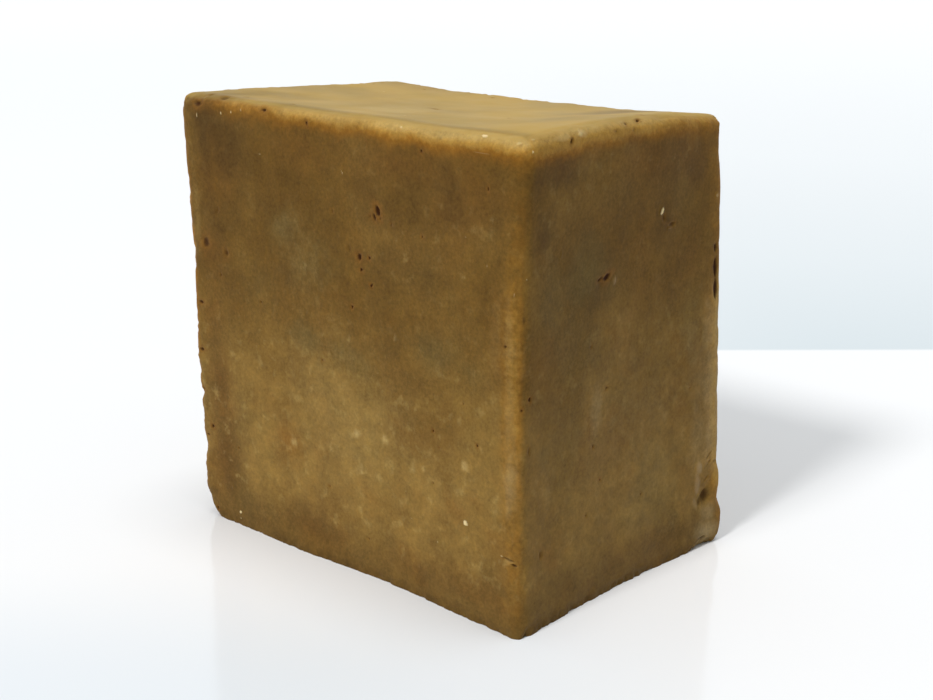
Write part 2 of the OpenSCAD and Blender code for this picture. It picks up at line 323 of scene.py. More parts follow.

# Soft clouds in the soap: pale flakes under the skin, broad patches where it is
# paler, greyer, browner or darker, amber where it is worn thin, and painted sheen:
# pale grey streaks where light glances off the narrow face and its edges
FLAKES = [
    ((294, 442), 1.0, 0.9, 0.90), ((331, 448), 0.6, 1.4, 0.70, -40), ((357, 434), 0.9, 1.1, 1.00),
    ((385, 440), 0.9, 0.9, 0.80), ((360, 470), 1.1, 0.5, 1.00, 10), ((412, 470), 0.6, 0.8, 0.90),
    ((423, 469), 0.7, 0.7, 0.80), ((464, 466), 1.1, 0.8, 0.90), ((457, 493), 0.7, 0.8, 0.70),
    ((306, 417), 0.4, 0.4, 0.7), ((308, 312), 0.8, 0.5, 0.60), ((322, 345), 0.5, 1.1, 0.45, 60),
    ((349, 339), 0.7, 0.4, 0.60), ((396, 339), 0.7, 0.6, 0.60), ((339, 386), 0.5, 1.0, 0.45, 50),
    ((353, 393), 0.7, 0.4, 0.45), ((306, 265), 0.6, 0.6, 0.45), ((320, 240), 0.7, 0.6, 0.40),
    ((463, 278), 0.7, 0.7, 0.50), ((396, 242), 0.6, 0.6, 0.40), ((492, 219), 0.6, 0.5, 0.50),
    ((557, 242), 0.8, 0.5, 0.40), ((395, 110), 7.0, 8.0, 1.0), ((325, 90), 5.0, 8.0, 0.7),
    ((518, 352), 6.0, 2.4, 0.34), ((600, 134), 2.6, 5.0, 0.30), ((260, 109), 2.0, 7.0, 0.34),
    ((452, 440), 9.0, 9.0, 0.16),
]
PALE_CLOUDS = [
    ((350, 425), 14.0, 17.0, 0.40), ((430, 480), 9.0, 12.0, 0.25), ((290, 380), 7.0, 8.0, 0.20),
    ((495, 335), 8.0, 2.0, 0.30), ((300, 260), 9.0, 7.0, 0.30), ((197, 215), 9.0, 1.2, 0.38),
]
# The grey patches just behind the front rim of the lid are partly painted shade, where the lid
# dips behind the rim
GREY_PATCHES = [
    ((283, 228), 3.0, 5.0, 0.6, 20), ((312, 265), 6.0, 8.0, 0.45), ((306, 338), 3.0, 4.5, 0.6),
    ((352, 358), 3.0, 6.0, 0.55, -20), ((435, 352), 3.5, 5.0, 0.6),
    ((470, 372), 2.0, 5.0, 0.4, -20), ((260, 285), 5.0, 6.0, 0.3), ((398, 412), 2.5, 3.5, 0.3),
    ((280, 455), 3.0, 4.0, 0.3), ((245, 500), 4.0, 5.0, 0.45), ((550, 225), 5.0, 3.0, 0.3),
    ((585, 275), 6.0, 6.0, 0.7), ((555, 300), 8.0, 4.0, 0.5), ((575, 350), 9.0, 7.0, 0.45),
    ((640, 395), 8.0, 6.0, 0.3), ((655, 490), 9.0, 8.0, 0.5), ((560, 450), 10.0, 5.0, 0.4),
    ((692, 330), 9.0, 3.0, 0.5), ((685, 210), 6.0, 5.0, 0.3), ((410, 118), 3.0, 9.0, 0.25),
    ((465, 130), 2.5, 7.0, 0.35), ((215, 96), 3.0, 5.0, 0.5), ((250, 94), 4.0, 8.0, 0.8),
    ((293, 97), 6.0, 7.0, 0.55), ((615, 112), 5.0, 9.0, 0.75), ((555, 119), 4.0, 7.0, 0.45),
]
BROWN_PATCHES = [
    ((215, 170), 7.0, 5.0, 0.5), ((300, 150), 3.0, 9.0, 0.4), ((400, 165), 3.5, 12.0, 0.5),
    ((470, 200), 6.0, 8.0, 0.4), ((450, 240), 6.0, 5.0, 0.3), ((215, 260), 6.0, 3.0, 0.5),
    ((215, 330), 8.0, 3.0, 0.4), ((224, 460), 8.0, 4.0, 0.6), ((288, 442), 4.0, 4.0, 0.65),
    ((222, 390), 9.0, 3.5, 0.70), ((400, 560), 2.5, 12.0, 0.3), ((470, 590), 3.0, 10.0, 0.5),
    ((330, 538), 3.0, 10.0, 0.4), ((420, 150), 3.0, 12.0, 0.4), ((497, 330), 8.0, 2.0, 0.4),
    ((560, 160), 3.0, 4.0, 0.6), ((665, 158), 4.0, 14.0, 0.5), ((640, 260), 9.0, 4.0, 0.4),
    ((625, 330), 7.0, 3.0, 0.3), ((631, 480), 4.0, 2.0, 0.4), ((690, 250), 6.0, 4.0, 0.3),
    ((640, 540), 3.0, 6.0, 0.3), ((505, 562), 5.0, 3.0, 0.40),
]
# The dark patches low by the near foot and round the gouge at the right are painted shade
DARK_PATCHES = [
    ((224, 150), 7.0, 8.0, 0.75), ((495, 587), 3.5, 6.0, 0.60), ((237, 168), 3.0, 3.0, 0.3),
    ((221, 385), 15.0, 4.5, 0.60), ((231, 460), 11.0, 5.6, 0.72), ((240, 430), 8.0, 6.0, 0.50),
    ((236, 300), 12.0, 8.0, 0.35), ((238, 195), 9.0, 8.0, 0.42), ((495, 205), 8.0, 6.0, 0.42),
    ((217, 215), 14.0, 5.0, 0.50), ((395, 240), 9.0, 8.0, 0.30), ((300, 170), 4.0, 9.0, 0.25),
    ((470, 175), 3.5, 8.0, 0.35), ((380, 165), 3.0, 8.0, 0.25), ((670, 165), 6.0, 9.0, 0.60),
    ((560, 170), 4.0, 6.0, 0.75), ((545, 235), 6.0, 3.0, 0.60), ((697, 168), 5.0, 3.5, 0.68),
    ((517, 398), 3.0, 1.1, 0.45), ((600, 290), 5.0, 3.0, 0.45), ((602, 283), 1.6, 1.9, 0.55),
    ((201, 108), 2.0, 2.0, 0.8), ((225, 104), 1.2, 2.2, 0.5), ((504, 575), 4.5, 4.0, 0.45),
    ((560, 190), 6.0, 3.0, 0.25), ((650, 220), 6.0, 6.0, 0.3), ((415, 195), 10.0, 15.0, 0.50),
    ((410, 262), 6.0, 10.0, 0.50), ((440, 158), 2.5, 8.0, 0.35), ((370, 150), 2.5, 6.0, 0.40),
    ((620, 112), 6.0, 9.0, 0.85), ((598, 112), 4.0, 7.0, 0.5), ((199, 100), 1.2, 3.0, 0.70),
    ((214, 95), 4.0, 5.0, 0.90), ((240, 98), 5.0, 6.0, 0.62), ((283, 96), 6.0, 7.0, 0.34),
    ((200, 155), 8.0, 3.0, 0.45), ((207, 400), 3.0, 1.6, 0.60), ((669, 221), 1.8, 1.8, 0.70),
    ((372, 205), 5.0, 7.0, 0.52), ((450, 205), 6.0, 6.0, 0.66), ((300, 155), 2.5, 8.0, 0.30),
    ((370, 495), 4.0, 6.0, 0.25), ((704, 500), 2.0, 2.0, 0.35), ((690, 520), 4.0, 3.0, 0.25),
]
AMBER_GLOWS = [
    ((490, 147), 2.6, 6.0, 0.55), ((440, 142), 2.4, 8.0, 0.5), ((370, 132), 2.4, 8.0, 0.5),
    ((546, 148), 2.0, 2.6, 0.5), ((590, 142), 2.6, 5.0, 0.6), ((650, 128), 2.2, 6.0, 0.5),
    ((620, 545), 4.0, 5.0, 0.25), ((522, 235), 8.0, 0.8, 0.3), ((716, 480), 1.2, 0.9, 0.35),
]
# Painted sheen: pale grey streaks on the narrow face and along its edges, where light glances off
PAINTED_SHEEN_STREAKS = [
    ((596, 412), 5.0, 1.8, 0.60), ((710, 385), 10.0, 2.6, 0.70), ((711, 435), 6.0, 2.6, 0.70),
    ((509, 420), 9.0, 1.0, 0.42), ((509, 340), 8.0, 1.0, 0.35), ((510, 485), 6.0, 1.2, 0.60),
    ((717, 385), 11.0, 1.0, 0.90), ((717, 435), 7.0, 1.0, 0.90), ((717, 330), 8.0, 1.0, 0.8),
    ((710, 330), 8.0, 2.4, 0.60), ((707, 514), 2.4, 2.4, 0.60), ((706, 532), 2.6, 3.2, 0.85),
    ((604, 388), 4.0, 1.4, 0.30, -4), ((592, 445), 4.0, 1.4, 0.25), ((702, 375), 9.0, 3.4, 0.45),
    ((699, 440), 8.0, 3.0, 0.50), ((694, 345), 6.0, 3.0, 0.35), ((545, 480), 8.0, 3.0, 0.3),
    ((640, 395), 4.0, 4.0, 0.25), ((625, 450), 26.0, 18.0, 0.28),
]
for kind, rows in (
    ("amber", AMBER_GLOWS), ("painted_sheen", PAINTED_SHEEN_STREAKS), ("flake", FLAKES), ("pale", PALE_CLOUDS),
    ("grey_and_shade", GREY_PATCHES), ("brown", BROWN_PATCHES), ("dark_and_shade", DARK_PATCHES),
):
    seen_patches(kind, rows)

# The same holes, crumbs and clouds, strewn at random over the sides that the
# photo hides, so that the bar looks alike all round; the sides that are named
# twice get twice as many
STREWN_SEED = 41
HIDDEN_SIDES = ("left", "back", "left", "back", "top", "base")
draw = random.Random(STREWN_SEED)
low_corner, high_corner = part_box("soap_bar")
middle = (low_corner + high_corner) / 2
half = (high_corner - low_corner) / 2


def way_in(side, a, b):
    """A place outside one side, a and b from -1 to 1 across it, and the direction of the bar."""
    return {
        "left": (Vector((-2 * half.x, a * half.y, half.z + b * half.z)), Vector((1, 0, 0))),
        "back": (Vector((a * half.x, 2 * half.y, half.z + b * half.z)), Vector((0, -1, 0))),
        "top": (Vector((a * half.x, b * half.y, 3 * half.z)), Vector((0, 0, -1))),
        "base": (Vector((a * half.x, b * half.y, -half.z)), Vector((0, 0, 1))),
    }[side]


def strewn(kind, amount, shortest, longest, depth, faintest, strongest):
    """Marks at random places; half their length and their depth are in mm."""
    placed = 0
    while placed < amount:
        side = draw.choice(HIDDEN_SIDES)
        start, aim = way_in(side, draw.uniform(-1, 1), draw.uniform(-1, 1))
        place, normal, _, _ = tree.ray_cast(start, aim)
        if place is None:
            continue
        long = draw.uniform(shortest, longest)
        wide = long * draw.uniform(0.5, 1.0)
        tilt = draw.uniform(-90, 90)
        mark(kind, place, normal, long, wide, depth, tilt, draw.uniform(faintest, strongest))
        placed += 1


# Kind, number, half length from and to in mm, depth in mm, strength from and to
STREWN = [
    ("hole", 46, 0.16, 0.42, 0.25, 0.4, 1.0),
    ("crumb", 26, 0.14, 0.36, -0.07, 0.3, 0.9),
    ("flake", 30, 0.4, 1.1, 0.0, 0.4, 0.9),
    ("pale", 10, 6, 14, 0.0, 0.2, 0.4),
    ("grey_and_shade", 22, 3, 8, 0.0, 0.3, 0.6),
    ("brown", 20, 3, 9, 0.0, 0.3, 0.5),
    ("dark_and_shade", 10, 3, 6, 0.0, 0.2, 0.4),
]
for row in STREWN:
    strewn(*row)

# Finer mesh round each mark with a depth and along the ragged foot; the
# underside keeps its own
CARVED = ("hole", "cut", "crumb", "scrape")
FINEST = 0.14 * MM
SHARE_OF_MARK = 0.55
MARK_REACH = 1.25
MARK_MARGIN = 0.2 * MM
MARK_THICKNESS = 1.5 * MM
RAGGED_FOOT_MESH = 0.36 * MM
RAGGED_FOOT_TOP = 0.8 * MM
UNDERSIDE = 0.05 * MM
NO_LIMIT = 1.0
SPLIT_FROM = 1.2
ROUNDS = 2
for _ in range(ROUNDS):
    surface.edges.ensure_lookup_table()
    ends = np.array([[v.co[:] for v in e.verts] for e in surface.edges])
    middles = ends.mean(1)
    lengths = np.linalg.norm(ends[:, 0] - ends[:, 1], axis=1)
    wanted = np.full(len(middles), NO_LIMIT)
    wanted[middles[:, 2] < RAGGED_FOOT_TOP] = RAGGED_FOOT_MESH
    wanted[middles[:, 2] < UNDERSIDE] = NO_LIMIT
    for m in marks:
        if m["kind"] not in CARVED:
            continue
        offset = middles - np.array(m["place"])
        lengthways = np.abs(offset @ np.array(m["along"]))
        sideways = np.abs(offset @ np.array(m["beside"]))
        near = lengthways < m["long"] * MARK_REACH + MARK_MARGIN
        near &= sideways < m["wide"] * MARK_REACH + MARK_MARGIN
        near &= np.abs(offset @ np.array(m["normal"])) < MARK_THICKNESS
        needed = max(FINEST, min(m["long"], m["wide"]) * SHARE_OF_MARK)
        wanted = np.where(near, np.minimum(wanted, needed), wanted)
    chosen = [surface.edges[i] for i in np.nonzero(lengths > wanted * SPLIT_FROM)[0]]
    bmesh.ops.subdivide_edges(surface, edges=chosen, cuts=1, use_grid_fill=True)
bmesh.ops.triangulate(surface, faces=[f for f in surface.faces if len(f.verts) > 4])
surface.normal_update()
surface.to_mesh(skin)
surface.free()
skin.update()


def vertex_rows(field):
    """The co or the normal of each vertex, one row each."""
    flat = np.empty(len(skin.vertices) * 3)
    skin.vertices.foreach_get(field, flat)
    return flat.reshape(-1, 3)


count = len(skin.vertices)
points = vertex_rows("co")
normals = vertex_rows("normal")
OCTAVE_FADE = 0.6
OCTAVE_STEP = 2.0


def grain(pitch, octaves, seed, stretch=(1, 1, 1)):
    """Even noise from -1 to 1 on the skin, with lumps about pitch mm wide."""
    scale = np.array(stretch) / (pitch * MM)
    shifted = points * scale + seed
    return np.array([noise.fractal(p, OCTAVE_FADE, OCTAVE_STEP, octaves) for p in shifted])


FACE_GRID = 9
RIM_CLEARANCE = 3.0 * MM


def inside_face(axis, way):
    """How far in mm each vertex lies inside one hollow face, carried on past its edges."""
    u_axis, v_axis = [a for a in range(3) if a != axis]
    reach = half - Vector((RIM_CLEARANCE,) * 3)
    steps = np.linspace(-1, 1, FACE_GRID)
    aim = Vector((0, 0, 0))
    aim[axis] = -way
    found = np.empty((FACE_GRID, FACE_GRID))
    for i, a in enumerate(steps):
        for j, b in enumerate(steps):
            start = middle - aim * 2 * half[axis]
            start[u_axis] += a * reach[u_axis]
            start[v_axis] += b * reach[v_axis]
            found[i, j] = tree.ray_cast(start, aim)[0][axis]

    def grid_place(a):
        """The last grid line before each vertex, and how far it lies past that line."""
        place = np.clip((points[:, a] - middle[a]) / reach[a], -1, 1)
        place = (place + 1) / 2 * (FACE_GRID - 1)
        low = np.minimum(place.astype(int), FACE_GRID - 2)
        return low, place - low

    (i, s), (j, t) = grid_place(u_axis), grid_place(v_axis)
    near_line = found[i, j] * (1 - s) + found[i + 1, j] * s
    far_line = found[i, j + 1] * (1 - s) + found[i + 1, j + 1] * s
    return way * (near_line * (1 - t) + far_line * t - points[:, axis]) / MM


# For each side of the block: how squarely a vertex faces it, and how far in
# mm the vertex lies inside it
SIDES = {
    "left": (0, -1), "right": (0, 1), "front": (1, -1),
    "back": (1, 1), "base": (2, -1), "top": (2, 1),
}
facing = {name: way * normals[:, axis] for name, (axis, way) in SIDES.items()}
gaps = {name: inside_face(axis, way) for name, (axis, way) in SIDES.items()}
height = points[:, 2] / (high_corner.z - low_corner.z)

# Each edge: the two sides that meet in it; the mm from the edge at which its
# gold ends being full and is gone, on either side, or None where there is no
# gold; how far its amber goes on either side; how squarely a spot must face
# its side to be gold; how strong the band is along the edge, from the bottom,
# the left or the front end on; and how far the edge is nibbled away in mm
EVEN_RIM = ((0, 1), (0.8, 0.8))
FRONT_RIM = ((0, 0.1, 0.18, 0.4, 0.7, 1), (0.10, 0.30, 0.60, 0.64, 0.96, 0.94))
RIGHT_RIM = ((0, 0.14, 0.3, 0.6, 1), (0.62, 0.85, 1.05, 0.70, 0.50))
SIDE_EDGE = ((0, 1), (0.6, 0.6))
NEAR_EDGE = (
    (0, 0.1, 0.16, 0.22, 0.4, 0.6, 0.75, 0.9, 1),
    (0.15, 0.28, 0.48, 0.50, 0.46, 0.50, 0.38, 0.18, 0.6),
)
LEFT_EDGE = ((0, 0.35, 0.6, 0.9, 1), (0.45, 0.5, 0.75, 0.85, 0.5))
RIGHT_EDGE = ((0, 0.1, 0.2, 0.3, 0.58, 0.66, 1), (0.4, 0.5, 1.1, 1.4, 1.3, 0.6, 0.5))
WORN_EDGES = [
    ("front", "right", (1.4, 5.0), (0.4, 1.9), 1.2, 0.4, 0.20, NEAR_EDGE, 0.14),
    ("front", "left", (0.0, 2.6), (1.0, 3.5), 2.6, 3.0, 0.25, LEFT_EDGE, 0.26),
    ("right", "back", (0.0, 6.0), (1.0, 3.5), 2.6, 3.0, 0.25, RIGHT_EDGE, 0.08),
    ("left", "back", (1.0, 3.5), (1.0, 3.5), 3.0, 3.0, 0.25, SIDE_EDGE, 0.26),
    ("front", "top", (0.2, 4.2), None, 5.0, 0, 0.25, FRONT_RIM, 0.14),
    ("right", "top", (0.9, 5.0), None, 5.8, 0, 0.25, RIGHT_RIM, 0.14),
    ("left", "top", (0.6, 3.0), (0.8, 2.6), 6.5, 2.4, 0.25, EVEN_RIM, 0.50),
    ("back", "top", (0.6, 3.0), (0.6, 2.4), 6.5, 2.2, 0.25, EVEN_RIM, 0.60),
    ("front", "base", None, None, 0, 0, 0.25, SIDE_EDGE, 0.14),
    ("right", "base", None, None, 0, 0, 0.25, SIDE_EDGE, 0.24),
    ("left", "base", None, None, 0, 0, 0.25, SIDE_EDGE, 0.24),
    ("back", "base", None, None, 0, 0, 0.25, SIDE_EDGE, 0.24),
]
# Where each strip along an edge starts to fade and is gone, in mm
NIBBLED_STRIP = (0.4, 2.6)
RAGGED_STRIP = (0.3, 1.4)
CREST_STRIP = (0.3, 2.2)
AMBER_CORE = 0.15
# How squarely a spot faces a side where it starts to count and counts in full
ON_SIDE = (0.25, 0.75)
ON_CREST = (0.05, 0.45)
ON_GOLD = 0.5
# How far the strips stray from a straight line, and how unevenly they are worn
STRAY = 0.18
UNEVEN_WEAR = 0.35
LEAST_WEAR, MOST_WEAR = 0.4, 1.3


def fading(strip, distance):
    """1 before a strip, 0 beyond it, and an even slope down across it."""
    return 1 - smooth_step(*strip, distance)


wander = grain(5, 3, 41.0)
broad_wander = grain(16, 2, 43.0)
gold = np.zeros(count)
amber = np.zeros(count)
pale_crest_and_highlight = np.zeros(count)
nibbled = np.zeros(count)
ragged_foot = np.zeros(count)
for one, other, gold_one, gold_other, amber_one, amber_other, turn, profile, nibble in WORN_EDGES:
    run = 3 - SIDES[one][0] - SIDES[other][0]
    share_along = (points[:, run] - low_corner[run]) / (high_corner[run] - low_corner[run])
    wear = np.interp(share_along, *profile)
    wear = wear * np.clip(1 + UNEVEN_WEAR * broad_wander, LEAST_WEAR, MOST_WEAR)
    for side, distance, gold_strip, amber_reach in (
        (one, gaps[other], gold_one, amber_one), (other, gaps[one], gold_other, amber_other),
    ):
        on_side = smooth_step(*ON_SIDE, facing[side])
        nibbled = np.maximum(nibbled, on_side * fading(NIBBLED_STRIP, distance) * nibble)
        if other == "base":
            at_foot = on_side * fading(RAGGED_STRIP, distance)
            ragged_foot = np.maximum(ragged_foot, at_foot * nibble)
        if not gold_strip:
            continue
        strayed = distance * (1 + STRAY * wander)
        # Painted highlight: a pale line along the crest of each upper rim, partly the rim's own
        # worn colour
        if other == "top":
            on_crest = smooth_step(*ON_CREST, facing[side]) * np.clip(wear, 0, 1) ** 2
            pale_crest_and_highlight = np.maximum(pale_crest_and_highlight, on_crest * fading(CREST_STRIP, strayed))
        squarely = smooth_step(turn, turn + ON_GOLD, facing[side])
        gold = np.maximum(gold, squarely * fading(gold_strip, strayed) * wear)
        amber_strip = (AMBER_CORE * amber_reach, amber_reach)
        amber = np.maximum(amber, on_side * fading(amber_strip, strayed) * wear)

# The skin is browner towards the rim, where the block dried first. Painted shade
# darkens it along the base where it stands, and there the worn edges are painted
# duller as part of that shade
RIND_RISE = (0.20, 0.72)
RIND_LEVEL, RIND_UNEVEN = 0.85, 0.4
STEEP = 1.5
DARK_LINE, DARK_LINE_LEVEL = (0.2, 2.0), 0.15
DARK_FOOT, DARK_FOOT_LEVEL = (3, 14), 0.58
EDGE_DIMMING_AT_BASE, LEAST_EDGE_LEVEL_AT_BASE = (0.3, 2.2), 0.3
FOOT_STRAY = 0.4
upright = np.clip(1 - np.abs(normals[:, 2]) * STEEP, 0, 1)
rind = np.clip(RIND_LEVEL + RIND_UNEVEN * broad_wander, 0, 1)
rind = smooth_step(*RIND_RISE, height) * rind * upright
from_base = gaps["base"] * (1 + FOOT_STRAY * wander)
base_shade = DARK_LINE_LEVEL * fading(DARK_LINE, from_base)
base_shade = base_shade + DARK_FOOT_LEVEL * fading(DARK_FOOT, from_base)
edge_dimming_at_base = LEAST_EDGE_LEVEL_AT_BASE + (1 - LEAST_EDGE_LEVEL_AT_BASE) * smooth_step(*EDGE_DIMMING_AT_BASE, from_base)
gold *= edge_dimming_at_base
amber *= edge_dimming_at_base

# Painted shade: a darker grey strip just behind the golden ridge of the front
# rim, where the lid dips away from the light
SHADE_BEHIND_RIM_START, SHADE_BEHIND_RIM_END = (-0.3, 0.5), (2.0, 4.8)
SHADE_BEHIND_RIM_TURN = (0.30, 0.65)
SHADE_BEHIND_RIM_LEVEL = 0.70
SHADE_BEHIND_RIM_EVEN, SHADE_BEHIND_RIM_UNEVEN = 0.75, 0.5
shade_behind_rim = smooth_step(*SHADE_BEHIND_RIM_START, gaps["front"]) * fading(SHADE_BEHIND_RIM_END, gaps["front"])
on_top = smooth_step(*SHADE_BEHIND_RIM_TURN, facing["top"])
shade_behind_rim *= on_top * np.clip(SHADE_BEHIND_RIM_EVEN + SHADE_BEHIND_RIM_UNEVEN * broad_wander, 0, 1)

# Worn edges are nibbled and chipped, the faces keep slight lumps and the
# cutter's upright drag, and the lid is smoother
LID_TURN = (0.55, 0.95)
LUMP = 0.04 * MM
LID_SMOOTHNESS = 0.95
DRAG = 0.012 * MM
DRAG_STRETCH = (1, 1, 0.06)
NIBBLE_BITE, NIBBLE_WEAR = 1.2, 0.25
CHIP = (0.15, 0.7)
FOOT_BITE = 1.6
BASE_LEVEL = 0.02 * MM
FACING_DOWN = -0.9
lid = smooth_step(*LID_TURN, facing["top"])
chip = smooth_step(*CHIP, grain(3.4, 2, 57.0))
push = (
    nibbled * MM * np.minimum(NIBBLE_BITE * grain(2.6, 4, 3.1) - NIBBLE_WEAR - chip, 0)
    + ragged_foot * MM * np.minimum(FOOT_BITE * grain(1.0, 2, 71.0), 0)
    + LUMP * grain(2.6, 2, 11.7) * (1 - LID_SMOOTHNESS * lid)
    + DRAG * grain(1.1, 2, 23.3, DRAG_STRETCH) * upright
)
push[(points[:, 2] < BASE_LEVEL) & (normals[:, 2] < FACING_DOWN)] = 0

# Each mark is pushed into the skin or out of it and kept as a mask, with a
# ragged border; its distances count in its own half length and half width
FARTHEST_REACH = 3.4
SAME_SIDE = 0.2
RAGGEDNESS, RAGGED_PITCH, RAGGED_OCTAVES, RAGGED_FADE = 0.32, 1.3, 3, 0.7
CARVED_BORDER = (0.35, 1.15)
CARVED_ROUNDING = 1.5
PATCH_BORDER = (0.1, 1.6)
HALO_BORDER = (0.6, 3.0)
masks = {name: np.zeros(count) for name in (
    "hole", "halo", "crumb", "scrape", "painted_sheen", "flake", "pale", "brown",
)}
# The painted shade behind the front rim goes in with the grey patches
masks["grey_and_shade"] = SHADE_BEHIND_RIM_LEVEL * shade_behind_rim
# The painted shade along the base goes in with the dark patches
masks["dark_and_shade"] = base_shade
masks["gold"] = gold
masks["amber"] = amber
masks["pale_crest_and_highlight"] = pale_crest_and_highlight
for m in marks:
    offset = points - np.array(m["place"])
    reach = FARTHEST_REACH * max(m["long"], m["wide"])
    near = np.nonzero((offset ** 2).sum(1) < reach * reach)[0]
    near = near[normals[near] @ np.array(m["normal"]) > SAME_SIDE]
    if not len(near):
        continue
    lengthways = offset[near] @ np.array(m["along"]) / m["long"]
    sideways = offset[near] @ np.array(m["beside"]) / m["wide"]
    seed = m["seed"]
    ragged = np.array([
        noise.fractal(
            Vector((x * RAGGED_PITCH + seed, y * RAGGED_PITCH, seed)),
            RAGGED_FADE, OCTAVE_STEP, RAGGED_OCTAVES,
        )
        for x, y in zip(lengthways, sideways)
    ])
    away = np.hypot(lengthways, sideways) * (1 + RAGGEDNESS * ragged)
    if m["kind"] in CARVED:
        shape = fading(CARVED_BORDER, away)
        push[near] -= m["depth"] * shape ** CARVED_ROUNDING
    else:
        shape = fading(PATCH_BORDER, away)
    target = masks["hole" if m["kind"] == "cut" else m["kind"]]
    target[near] = np.maximum(target[near], shape * m["strength"])
    if m["kind"] == "hole":
        around = fading(HALO_BORDER, away) * m["strength"]
        masks["halo"][near] = np.maximum(masks["halo"][near], around)

points += normals * push[:, None]

# The weight of the bar has pressed the edge of its base flat
SETTLED = 0.45 * MM
low_down = points[:, 2] < 2 * SETTLED
points[low_down, 2] = np.maximum(2 * (points[low_down, 2] - SETTLED), 0)
points = np.clip(points, np.array(low_corner), np.array(high_corner))
skin.vertices.foreach_set("co", points.ravel())
skin.update()

# The lid and the foot show no flecks, and the narrow face shows few
PLAIN_FOOT = (3, 10)
PLAIN_NARROW_FACE = 0.6
plain = np.maximum(lid, PLAIN_NARROW_FACE * smooth_step(*LID_TURN, facing["right"]))
masks["plain"] = np.maximum(plain, fading(PLAIN_FOOT, from_base))
masks["rind"] = rind
masks["lid"] = lid


def keep(name, values):
    """Stores one number for each vertex, for the material to read."""
    layer = skin.attributes.new(name, "FLOAT", "POINT")
    layer.data.foreach_set("value", values.astype(np.float32))


for name, values in masks.items():
    keep(name, values)
skin.polygons.foreach_set("use_smooth", np.ones(len(skin.polygons), dtype=bool))


def paint(red, green, blue):
    """A colour as it is read off a screen, 0 to 255, as Blender's linear values."""
    def linear(v):
        v /= 255
        return v / 12.92 if v <= 0.04045 else ((v + 0.055) / 1.055) ** 2.4
    return (linear(red), linear(green), linear(blue), 1.0)


def node_tools(material):
    """Short calls that add nodes to a material and return their result."""
    nodes, links = material.node_tree.nodes, material.node_tree.links

    def join(value, socket):
        if isinstance(value, (int, float, tuple)):
            socket.default_value = value
        else:
            links.new(value, socket)

    def cloudy(pitch, detail, roughness=0.5, shift=0.0, stretch=(1, 1, 1)):
        """Noise from 0 to 1 with clouds about pitch mm wide."""
        mapping = nodes.new("ShaderNodeMapping")
        mapping.inputs["Scale"].default_value = [s / (pitch * MM) for s in stretch]
        mapping.inputs["Location"].default_value = (shift, shift * 0.7, shift * 1.3)
        links.new(nodes.new("ShaderNodeTexCoord").outputs["Object"], mapping.inputs["Vector"])
        texture = nodes.new("ShaderNodeTexNoise")
        texture.inputs["Scale"].default_value = 1.0
        texture.inputs["Detail"].default_value = detail
        texture.inputs["Roughness"].default_value = roughness
        links.new(mapping.outputs["Vector"], texture.inputs["Vector"])
        return texture.outputs["Fac"]

    def ramp(value, low, high, out_low=0.0, out_high=1.0, kind="SMOOTHSTEP"):
        """The value's range from low to high, turned into another range."""
        node = nodes.new("ShaderNodeMapRange")
        node.interpolation_type = kind
        node.inputs["From Min"].default_value = low
        node.inputs["From Max"].default_value = high
        node.inputs["To Min"].default_value = out_low
        node.inputs["To Max"].default_value = out_high
        links.new(value, node.inputs["Value"])
        return node.outputs["Result"]

    def sums(operation, a, b):
        """MULTIPLY, ADD or another operation on two numbers."""
        node = nodes.new("ShaderNodeMath")
        node.operation = operation
        join(a, node.inputs[0])
        join(b, node.inputs[1])
        return node.outputs["Value"]

    def blend(a, b, factor):
        """Colour a where factor is 0, colour b where it is 1."""
        node = nodes.new("ShaderNodeMix")
        node.data_type = "RGBA"
        links.new(factor, node.inputs["Factor"])
        join(a, node.inputs["A"])
        join(b, node.inputs["B"])
        return node.outputs["Result"]

    def scaled(colour, factor):
        """A colour made lighter or darker."""
        node = nodes.new("ShaderNodeVectorMath")
        node.operation = "SCALE"
        links.new(colour, node.inputs[0])
        links.new(factor, node.inputs["Scale"])
        return node.outputs["Vector"]

    return cloudy, ramp, sums, blend, scaled


# How much lighter or darker the soap is in its clouds, from broad to fine, how
# much of that the lid shows, and how clear the flecks are
MOTTLING, SMALL_MOTTLING, SPECKLING = 0.26, 0.06, 0.26
LID_SHARE = 0.05
FLECKS = 0.42
SUBSURFACE_SHARE = 0.25
SUBSURFACE_DEPTH = 1.2 * MM
DULLNESS = (0.53, 0.60)
SHINE = 0.08
BUMP_HEIGHT = 0.06 * MM


